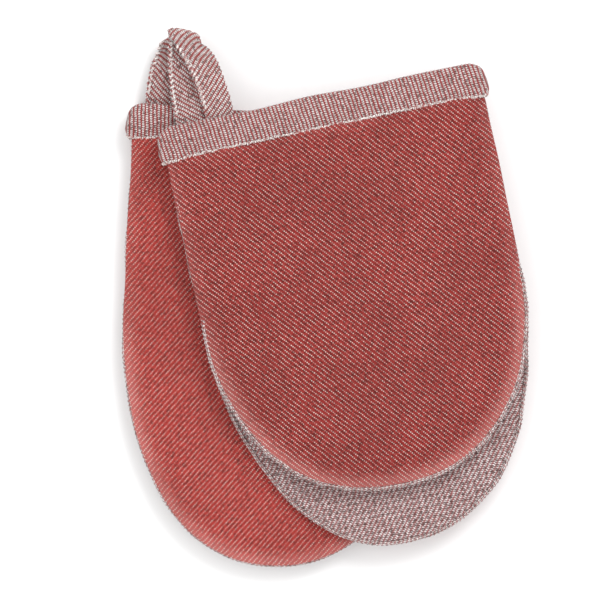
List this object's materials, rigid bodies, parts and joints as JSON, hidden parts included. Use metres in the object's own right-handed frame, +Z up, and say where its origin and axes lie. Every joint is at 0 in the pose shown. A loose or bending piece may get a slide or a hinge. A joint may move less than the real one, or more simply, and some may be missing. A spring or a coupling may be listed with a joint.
{
  "type": "oven mitts",
  "caption": "Pair of thumbless padded pocket mitts lying fanned one on the other, each a long and a short quilted panel with a bound mouth and a fabric hanging loop.",
  "frame": {"origin": "centre of the pair's box on the surface that the lower mitt lies on", "axes": "+Z up, +Y towards the mouths and hanging loops, +X to the right seen from above"},
  "size_m": [0.2483, 0.3241, 0.0366],
  "materials": {
    "red_twill": "brick red cotton twill with a pale weft showing between the wales",
    "light_lining": "light reverse of the twill, off-white and grey with fine red lines",
    "binding": "light bias-cut twill folded over the mouth edge",
    "loop_tape": "folded light twill tape with an edge topstitch",
    "seam_edge": "turned and sewn cloth edge",
    "wadding": "cotton wadding",
    "thread": "pale cotton thread"
  },
  "bodies": {
    "rear_long_panel": {"rear_long_binding": "binding", "rear_long_binding_stitching": "thread", "rear_long_edge_roll": "seam_edge", "rear_long_lining": "light_lining", "rear_long_shell": "red_twill", "rear_long_wadding": "wadding", "rear_loop_bartack": "thread", "rear_loop_tabs": "loop_tape", "rear_side_seam": "seam_edge"},
    "rear_short_panel": {"rear_short_binding": "binding", "rear_short_binding_stitching": "thread", "rear_short_edge_roll": "seam_edge", "rear_short_lining": "light_lining", "rear_short_shell": "red_twill", "rear_short_wadding": "wadding"},
    "rear_loop": {"rear_loop_tape": "loop_tape", "rear_loop_edge_stitching": "thread"},
    "front_long_panel": {"front_long_binding": "binding", "front_long_binding_stitching": "thread", "front_long_edge_roll": "seam_edge", "front_long_lining": "light_lining", "front_long_shell": "red_twill", "front_long_wadding": "wadding", "front_loop_bartack": "thread", "front_loop_tabs": "loop_tape", "front_side_seam": "seam_edge"},
    "front_short_panel": {"front_short_binding": "binding", "front_short_binding_stitching": "thread", "front_short_edge_roll": "seam_edge", "front_short_lining": "light_lining", "front_short_shell": "red_twill", "front_short_wadding": "wadding"},
    "front_loop": {"front_loop_tape": "loop_tape", "front_loop_edge_stitching": "thread"}
  },
  "joints": [
    {"name": "rear_pocket_open", "type": "hinge", "parent": "rear_short_panel", "child": "rear_long_panel", "pos_m": [-0.03219, -0.12591, 0.009], "axis": [0.9979, -0.0645, 0], "range_deg": [0, 10]},
    {"name": "mitts_fan", "type": "hinge", "parent": "rear_long_panel", "child": "front_long_panel", "pos_m": [-0.0861, 0.1584, 0.022], "axis": [0, 0, 1], "range_deg": [-16, 75]},
    {"name": "front_pocket_open", "type": "hinge", "parent": "front_long_panel", "child": "front_short_panel", "pos_m": [0.04438, -0.11112, 0.0276], "axis": [0.9781, 0.2079, 0], "range_deg": [0, 10]},
    {"name": "front_loop_flop", "type": "hinge", "parent": "front_long_panel", "child": "front_loop", "pos_m": [-0.07319, 0.10772, 0.0251], "axis": [0.9781, 0.2079, 0], "range_deg": [0, 60]},
    {"name": "rear_loop_flop", "type": "hinge", "parent": "rear_long_panel", "child": "rear_loop", "pos_m": [-0.09045, 0.11686, 0.0115], "axis": [0.9979, -0.0645, 0], "range_deg": [0, 7]}
  ]
}
